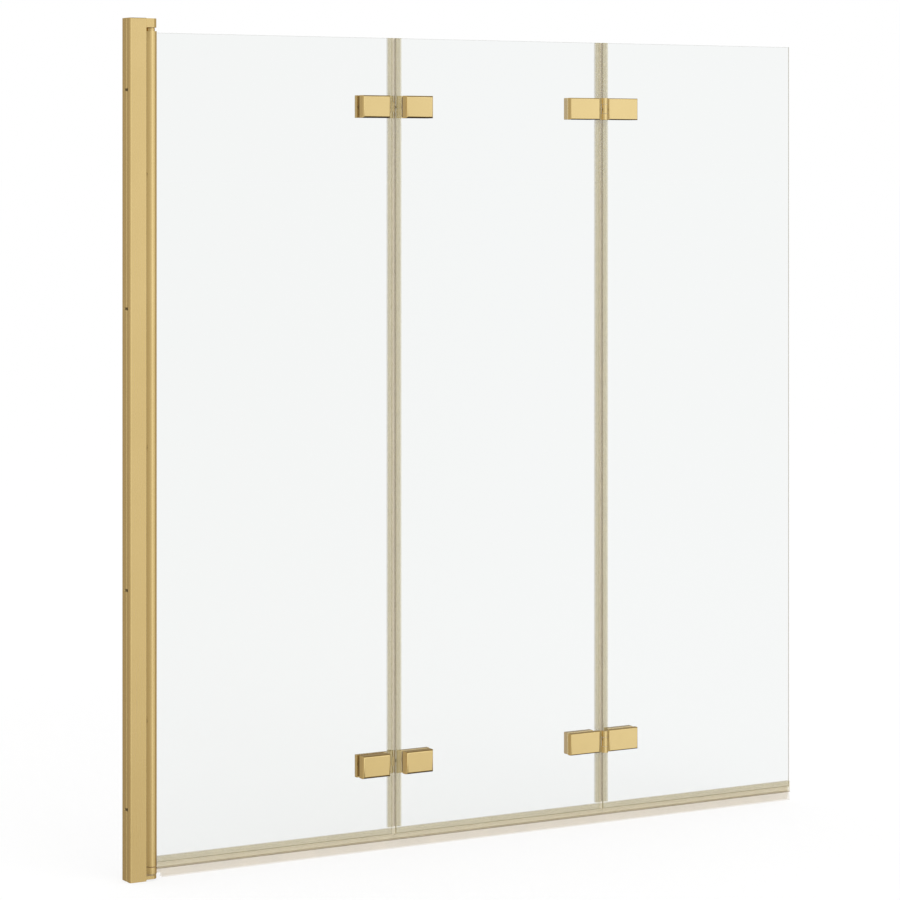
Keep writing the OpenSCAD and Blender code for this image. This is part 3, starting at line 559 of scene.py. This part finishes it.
wave = node_in(
    drawn_bar, "ShaderNodeTexNoise", {"Vector": wave_place, "Scale": 14.0, "Detail": 1.0}
).outputs[0]
lip_length = 0.015
share = math_in(drawn_bar, "DIVIDE", math_in(drawn_bar, "MAXIMUM", below, 0.0), lip_length)
wave = math_in(drawn_bar, "MULTIPLY", wave, share)
sway = math_in(drawn_bar, "MULTIPLY", wave, given["Waves"])
sway = math_in(drawn_bar, "MULTIPLY", sway, outward)
shift = node_in(drawn_bar, "ShaderNodeCombineXYZ", {"X": sway}).outputs[0]
bar = node_in(
    drawn_bar, "GeometryNodeSetPosition", {"Geometry": bar, "Offset": shift}
).outputs[0]
end_tree(drawn_bar, bar, given["Material"])


def run_of(loops, length, place, **inputs):
    """A drawn bar of the given length over closed loops in millimetres, put in its place."""
    outline = bpy.data.curves.new("outline", "CURVE")
    outline.dimensions = "3D"
    for loop in loops:
        line = outline.splines.new("POLY")
        line.points.add(len(loop) - 1)
        points = [n for x, y in loop for n in (x / 1000, y / 1000, 0, 1)]
        line.points.foreach_set("co", points)
        line.use_cyclic_u = True
    base = bpy.data.objects.new("outline", outline)
    mesh = grown(base, drawn_bar, Length=length, **inputs)
    mesh.transform(place)
    return mesh


def mirrored(loop):
    """A loop turned over from left to right, still running the same way round."""
    return [(-x, y) for x, y in reversed(loop)]


def arc(x, y, r, start, end, steps):
    """Points of an arc round (x, y), from one angle to another in degrees."""
    angles = [math.radians(start + (end - start) * i / steps) for i in range(steps + 1)]
    return [(x + r * math.cos(angle), y + r * math.sin(angle)) for angle in angles]


# Sizes that the sections share with the frame's own seals
face_y = 4.5
slot_half = 2.55
slot_root = 0.05
tip_cut = 1.1
fine_corner = 0.0001


def grip_mouth(depth):
    """The open end of a section that grips a glass edge, seen as the points round its slot."""
    lead_in = 0.8 - depth
    flare = slot_half + 0.25
    return [
        (tip_cut - depth, face_y),
        (-depth, face_y - tip_cut),
        (-depth, flare),
        (lead_in, slot_half),
        (slot_root, slot_half),
        (slot_root, -slot_half),
        (lead_in, -slot_half),
        (-depth, -flare),
        (-depth, tip_cut - face_y),
        (tip_cut - depth, -face_y),
    ]


# The upright seals at the folds: one of each pair has a soft nose, the other a hollow for that
# nose, lined with a dark brown strip that is painted shade for the shadow line where the seals
# part
to_edge = 0.004
mouth = grip_mouth(depth=9.0)
plain_x = 1.9
plain = mouth + [(plain_x, -face_y), (plain_x, face_y)]
nose_x, nose_y, nose_r = 4.0, 2.5, 1.1
nose_root = 0.2
nose_root_x = plain_x - nose_root
nose_side = nose_y + nose_r
nose = [(nose_root_x, -nose_side)] + arc(nose_x, -nose_y, nose_r, -90, 0, 4)
nose += arc(nose_x, nose_y, nose_r, 0, 90, 4) + [(nose_root_x, nose_side)]
rim_x, rim_y = 2.1, 2.8
hollow_x, hollow_r = 11.5, 10.0
hollow = arc(hollow_x, 0, hollow_r, 195, 165, 8)
hollowed = mouth + [(rim_x, -face_y), (rim_x, -rim_y)] + hollow
hollowed += [(rim_x, rim_y), (rim_x, face_y)]
strip_y = 2.5
strip_gap = 0.04
strip = [(x + strip_gap, y) for x, y in reversed(hollow)]
strip += [(rim_x, -strip_y), (rim_x, strip_y)]
nosed = (plain, nose, "nose", soft_nose_vinyl)
stripped = (hollowed, strip, "strip", brown_strip_vinyl)
ahead = Matrix.Identity(4)
half_turn = Matrix.Rotation(math.pi, 4, "Z")
for node, body, edge_x, way, (loop, soft_loop, soft_name, soft_material) in (
    ("joint_seal_a_1", "panel_1", fold_a_x - to_edge, ahead, nosed),
    ("joint_seal_a_2", "panel_2", fold_a_x + to_edge, half_turn, stripped),
    ("joint_seal_b_2", "panel_2", fold_b_x - to_edge, ahead, nosed),
    ("joint_seal_b_3", "panel_3", fold_b_x + to_edge, half_turn, stripped),
):
    low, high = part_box(node)
    place = Matrix.Translation((edge_x, 0, low.z)) @ way
    length = high.z - low.z
    grip = run_of([loop], length, place, Material=upright_vinyl)
    fitted(node + "_vinyl", grip, body, "beige_vinyl", node)
    soft_part = run_of(
        [soft_loop], length, place, Corner_Radius=fine_corner, Material=soft_material
    )
    fitted(f"{node}_{soft_name}", soft_part, body, "beige_vinyl")

# The bottom seals: the grip, a hollow chamber under the glass, two lips, and two dark brown ties
# that are painted shade for the shadow line above the lips
glass_z = 24.6
chamber_top = 22.6
chamber_floor = 17.2
chamber_half = 2.1
chamber_z = 15.0
tie = 1.1
tie_y = face_y - tie
tie_z = chamber_z + tie
level_outline = [(-face_y, tie_z), (-tie_y, tie_z), (-tie_y, chamber_z)]
level_outline += [(tie_y, chamber_z), (tie_y, tie_z), (face_y, tie_z)]
level_outline += [(y, glass_z - u) for u, y in grip_mouth(depth=10.6)]
chamber = [(-chamber_half, chamber_top), (chamber_half, chamber_top)]
chamber += [(chamber_half, chamber_floor), (-chamber_half, chamber_floor)]
right_tie = [(tie_y, tie_z), (tie_y, chamber_z), (face_y, chamber_z), (face_y, tie_z)]
lip_z = 0.8


def lip_side(y, sweep, shares):
    """Points down one side of a lip, which sweeps outward more and more as it falls."""
    return [(y + sweep * t**1.6, chamber_z - (chamber_z - lip_z) * t) for t in shares]


lip_root_z = chamber_z + 0.4
right_lip = [(1.4, lip_root_z)]
right_lip += lip_side(y=1.45, sweep=1.85, shares=(0.3, 0.55, 0.8, 0.95))
right_lip += [(3.45, lip_z + 0.1), (3.9, lip_z), (4.15, lip_z + 0.3)]
right_lip += lip_side(y=2.75, sweep=1.45, shares=(0.92, 0.75, 0.5, 0.25))
right_lip += [(2.7, lip_root_z)]
short_lip_z = 8.3
last_bend = 3.5
short_lip = [(y, max(z, short_lip_z)) for y, z in right_lip if z > short_lip_z - last_bend]
along_the_screen = Matrix(((0, 0, 1, 0), (1, 0, 0, 0), (0, 1, 0, 0), (0, 0, 0, 1)))
for number, seed in ((1, 3), (2, 11), (3, 19)):
    node = f"bottom_seal_{number}"
    body = f"panel_{number}"
    low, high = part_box(node)
    length = high.x - low.x
    place = Matrix.Translation((low.x, 0, 0)) @ along_the_screen
    grip = run_of([level_outline, chamber], length, place, Material=level_vinyl)
    fitted(node + "_vinyl", grip, body, "beige_vinyl", node)
    # The ties are dark brown, painted shade for the shadow line above the lips
    ties = run_of(
        [right_tie, mirrored(right_tie)],
        length,
        place,
        Corner_Radius=fine_corner,
        Material=brown_tie_vinyl,
    )
    fitted(node + "_ties", ties, body, "beige_vinyl")
    lips_x = low.x
    if number == 1:
        # Short lips clear the bottom bracket when the first panel swings past it
        lips_x = 0.0608
        gap = 0.0001
        short = run_of(
            [short_lip, mirrored(short_lip)], lips_x - gap - low.x, place, Material=soft_lip_vinyl
        )
        fitted(node + "_short_lips", short, body, "beige_vinyl")
    lips = run_of(
        [right_lip, mirrored(right_lip)],
        high.x - lips_x,
        Matrix.Translation((lips_x, 0, 0)) @ along_the_screen,
        Stations=90,
        Waves_Below=chamber_z / 1000,
        Waves=0.0004,
        Seed=seed,
        Material=soft_lip_vinyl,
    )
    fitted(node + "_lips", lips, body, "beige_vinyl")

# The wiper seal that closes the gap between the wall profile and the barrel: a T-shaped foot, a
# flange and a hollow bulb
low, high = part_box("pivot_wiper_seal")
foot_x = 1000 * low.x
foot_half = 3
neck_x = foot_x + 2.4
neck_half = 1.4
flange_x = 28.35
flange_end = flange_x + 1.35
flange_half = 4
bulb_r = 3.65
bulb_wall = 0.9
bulb_x = 1000 * high.x - bulb_r
wiper = [(foot_x, -foot_half), (neck_x, -foot_half), (neck_x, -neck_half)]
wiper += [(flange_x, -neck_half), (flange_x, -flange_half), (flange_end, -flange_half)]
wiper += arc(bulb_x, 0, bulb_r, 231, 489, 40)
wiper += [(flange_end, flange_half), (flange_x, flange_half), (flange_x, neck_half)]
wiper += [(neck_x, neck_half), (neck_x, foot_half), (foot_x, foot_half)]
bulb_hollow = arc(bulb_x, 0, bulb_r - bulb_wall, 360, 15, 24)
mesh = run_of(
    [wiper, bulb_hollow],
    high.z - low.z,
    Matrix.Translation((0, 0, low.z)),
    Corner_Radius=2 * fine_corner,
    Material=upright_vinyl,
)
fitted("pivot_wiper_seal_vinyl", mesh, "wall_frame", "beige_vinyl", "pivot_wiper_seal")

# The gasket that holds the first pane in the slot of the barrel
low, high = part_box("glazing_gasket")
near, far = 1000 * low, 1000 * high
bed_x = 1000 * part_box("glass_1")[0].x - 0.05
gasket = [(near.x, near.y), (far.x, near.y), (far.x, -slot_half), (bed_x, -slot_half)]
gasket += [(bed_x, slot_half), (far.x, slot_half), (far.x, far.y), (near.x, far.y)]
mesh = run_of(
    [gasket],
    high.z - low.z,
    Matrix.Translation((0, 0, low.z)),
    Corner_Radius=2 * fine_corner,
    Material=upright_vinyl,
)
fitted("glazing_gasket_vinyl", mesh, "panel_1", "beige_vinyl", "glazing_gasket")

# Mirrored rays pass these pieces by, so that the metal shows the studio and not its neighbours.
# The hinge block nearest to the wall at each joint stays in the reflections of its leaf.
near_blocks = [name for name in blocks if "hinge_a" in name and name.endswith("_1")]
near_blocks += [name for name in blocks if "hinge_b" in name and name.endswith("_2")]
other_metal = ["wall_profile", "adjust_profile", "bottom_bracket", "foot_collar"]
for name in hinge_parts + other_metal:
    if name not in near_blocks:
        frame["nodes"][name].visible_glossy = False
for piece in bpy.data.objects:
    if piece.name.startswith("joint_seal_") and piece.name not in frame["nodes"]:
        piece.visible_glossy = False
bpy.data.objects["pivot_wiper_seal_vinyl"].visible_glossy = False


# Screws. Steel, with rolled threads and hexagon sockets. Two go through each hinge half from the
# back, four hold the brackets, and three under round covers lock the adjusting profile.

steel, shader, tree = principled("steel", Metallic=1.0, Base_Color=(0.6, 0.6, 0.61, 1))
place = node_in(tree, "ShaderNodeTexCoord").outputs["Object"]
turning = noise_in(tree, place, 3500.0)
tree.links.new(spread_in(tree, turning, 0.3, 0.7, 0.22, 0.38), shader.inputs["Roughness"])
tree.links.new(bump_in(tree, turning, 0.00001), shader.inputs["Normal"])

screw_tree, given = geometry_tree(
    "screws",
    [
        ("Length", "Float", 0.02),
        ("Shank Radius", "Float", 0.0025),
        ("Thread Pitch", "Float", 0.0008),
        ("Head Radius", "Float", 0.0046),
        ("Under Head Radius", "Float", 0.0025),
        ("Head Height", "Float", 0.0026),
        ("Key Radius", "Float", 0.0019),
        ("Key Depth", "Float", 0.002),
        ("Seed", "Int", 5),
        ("Material", "Material", None),
    ],
)
thread_share = 0.12
threaded_share = 0.96
thread_depth = math_in(screw_tree, "MULTIPLY", given["Shank Radius"], thread_share)
core_radius = math_in(screw_tree, "SUBTRACT", given["Shank Radius"], thread_depth)
shank = math_in(screw_tree, "SUBTRACT", given["Length"], given["Head Height"])
thread_length = math_in(screw_tree, "MULTIPLY", shank, threaded_share)


def lowered(tree, geometry, depth):
    """Moves geometry down by a depth."""
    down = node_in(tree, "ShaderNodeCombineXYZ", {"Z": math_in(tree, "MULTIPLY", depth, -1.0)})
    return node_in(
        tree, "GeometryNodeTransform", {"Geometry": geometry, "Translation": down.outputs[0]}
    ).outputs[0]


core = node_in(
    screw_tree,
    "GeometryNodeMeshCylinder",
    {"Vertices": 24, "Radius": core_radius, "Depth": shank},
).outputs[0]
half_shank = math_in(screw_tree, "DIVIDE", shank, 2.0)
core_middle = math_in(screw_tree, "ADD", given["Head Height"], half_shank)
core = lowered(screw_tree, core, core_middle)
winding = node_in(
    screw_tree,
    "GeometryNodeCurveSpiral",
    {
        "Resolution": 14,
        "Rotations": math_in(screw_tree, "DIVIDE", thread_length, given["Thread Pitch"]),
        "Start Radius": core_radius,
        "End Radius": core_radius,
        "Height": thread_length,
    },
).outputs[0]
crest = node_in(
    screw_tree, "GeometryNodeCurvePrimitiveCircle", {"Resolution": 3, "Radius": thread_depth}
).outputs[0]
thread = node_in(
    screw_tree,
    "GeometryNodeCurveToMesh",
    {"Curve": winding, "Profile Curve": crest, "Fill Caps": True},
).outputs[0]
thread = lowered(screw_tree, thread, given["Length"])
head = node_in(
    screw_tree,
    "GeometryNodeMeshCone",
    {
        "Vertices": 40,
        "Radius Top": given["Head Radius"],
        "Radius Bottom": given["Under Head Radius"],
        "Depth": given["Head Height"],
    },
).outputs[0]
head = lowered(screw_tree, head, given["Head Height"])
key = node_in(
    screw_tree,
    "GeometryNodeMeshCylinder",
    {
        "Vertices": 6,
        "Radius": given["Key Radius"],
        "Depth": math_in(screw_tree, "MULTIPLY", given["Key Depth"], 2.0),
    },
).outputs[0]
head = node_in(
    screw_tree,
    "GeometryNodeMeshBoolean",
    {"Mesh 1": head, "Mesh 2": key},
    operation="DIFFERENCE",
    solver="EXACT",
).outputs[0]
facing = node_in(
    screw_tree, "GeometryNodeInputNamedAttribute", {"Name": "facing"}, data_type="FLOAT_VECTOR"
).outputs[0]
stance = node_in(
    screw_tree, "FunctionNodeAlignRotationToVector", {"Vector": facing}, axis="Z"
).outputs[0]
key_turn = node_in(
    screw_tree,
    "FunctionNodeRandomValue",
    {"Max": (0.0, 0.0, 2 * math.pi), "Seed": given["Seed"]},
    data_type="FLOAT_VECTOR",
).outputs[0]
stance = node_in(
    screw_tree,
    "FunctionNodeRotateRotation",
    {"Rotation": stance, "Rotate By": key_turn},
    rotation_space="LOCAL",
).outputs[0]
set_screws = node_in(
    screw_tree,
    "GeometryNodeInstanceOnPoints",
    {
        "Points": given["Geometry"],
        "Instance": joined_in(screw_tree, core, thread, head),
        "Rotation": stance,
    },
).outputs[0]
end_tree(screw_tree, set_screws, given["Material"])


def screws(name, body, nodes, heads, **inputs):
    """Screws with their heads at the given places, each as (place, the way it faces)."""
    spots = bpy.data.meshes.new("spots")
    spots.from_pydata([place for place, way in heads], [], [])
    ways = spots.attributes.new("facing", "FLOAT_VECTOR", "POINT")
    ways.data.foreach_set("vector", [n for place, way in heads for n in way])
    base = bpy.data.objects.new("spots", spots)
    mesh = grown(base, screw_tree, Material=steel, **inputs)
    fitted(name, mesh, body, "steel", *nodes)


to_the_back = (0, 1, 0)
coarse_pitch = 0.0013
clamp_reach = (0.028, 0.054)
hinge_heights = []
for level in ("lower", "upper"):
    low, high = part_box(f"hinge_a_{level}_leaf_1")
    hinge_heights.append((low.z + high.z) / 2)
for node, fold_x, way in (
    ("hinge_a_screws_1", fold_a_x, -1),
    ("hinge_a_screws_2", fold_a_x, 1),
    ("hinge_b_screws_2", fold_b_x, -1),
    ("hinge_b_screws_3", fold_b_x, 1),
):
    low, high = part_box(node)
    heads = [
        ((fold_x + way * reach, high.y, z), to_the_back)
        for z in hinge_heights
        for reach in clamp_reach
    ]
    screws(node + "_threaded", "panel_" + node[-1], [node], heads, Length=high.y - low.y)

# The bracket screws are in two pieces, because the brackets stand at the two ends of the screen
bracket_head_r = 0.003325
bracket_shank_r = 0.00175
low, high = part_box("bracket_screws")
port_x = (low.x + high.x) / 2
port_y = high.y - bracket_head_r
for end, z, way, length, nodes in (
    ("top", high.z, 1, 0.0294, ["bracket_screws"]),
    ("bottom", low.z, -1, 0.0215, []),
):
    screws(
        f"bracket_screws_{end}",
        "wall_frame",
        nodes,
        [((port_x, side * port_y, z), (0, 0, way)) for side in (-1, 1)],
        Length=length,
        Shank_Radius=bracket_shank_r,
        Thread_Pitch=coarse_pitch,
        Head_Radius=bracket_head_r,
        Under_Head_Radius=bracket_shank_r,
        Head_Height=0.002,
        Key_Radius=0.0011,
        Key_Depth=0.0012,
    )

low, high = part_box("locking_screws")
lock_x = (low.x + high.x) / 2
lock_r = (high.x - low.x) / 2
lock_z = (low.z + lock_r, (low.z + high.z) / 2, high.z - lock_r)
screws(
    "locking_screws_threaded",
    "wall_frame",
    ["locking_screws"],
    [((lock_x, high.y, z), to_the_back) for z in lock_z],
    Length=high.y - low.y,
    Shank_Radius=0.00195,
    Thread_Pitch=coarse_pitch,
    Head_Radius=lock_r,
    Under_Head_Radius=lock_r,
    Head_Height=0.002,
    Key_Radius=0.0014,
    Key_Depth=0.0012,
)
for name in ("top_pivot_pin", "bottom_pivot_pin"):
    finish(name, steel)
    ease_edges(name, width=0.0002)


# Bushes and washers. White moulded nylon, a little yellowed and not quite opaque: the barrel and
# the knuckles turn on them.

nylon, shader, tree = principled("white_nylon", Subsurface_Weight=0.15)
place = node_in(tree, "ShaderNodeTexCoord").outputs["Object"]
skin_grain = noise_in(tree, place, 2400.0, 3.0)
tree.links.new(spread_in(tree, skin_grain, 0.3, 0.7, 0.38, 0.52), shader.inputs["Roughness"])
tree.links.new(bump_in(tree, skin_grain, 0.00002), shader.inputs["Normal"])
yellowing = noise_in(tree, place, 70.0)
tint = ramp_in(tree, yellowing, [(0.35, (0.86, 0.86, 0.84)), (0.7, (0.82, 0.81, 0.76))])
tree.links.new(tint, shader.inputs["Base Color"])
for name in ("top_bush", "bottom_bush", "hinge_a_washers", "hinge_b_washers"):
    finish(name, nylon)


# Pads and foot washer. Dark brown rubber sheet, cut to shape: it keeps the metal off the glass and
# the collar off the plate.

rubber, shader, tree = principled("dark_rubber")
place = node_in(tree, "ShaderNodeTexCoord").outputs["Object"]
sheet_grain = noise_in(tree, place, 1500.0, 4.0)
tint = ramp_in(tree, sheet_grain, [(0.3, (0.26, 0.15, 0.06)), (0.7, (0.34, 0.2, 0.085))])
tree.links.new(tint, shader.inputs["Base Color"])
tree.links.new(spread_in(tree, sheet_grain, 0.3, 0.7, 0.5, 0.7), shader.inputs["Roughness"])
tree.links.new(bump_in(tree, sheet_grain, 0.00005), shader.inputs["Normal"])
for name in frame["nodes"]:
    if "pads" in name or name == "foot_washer":
        finish(name, rubber)
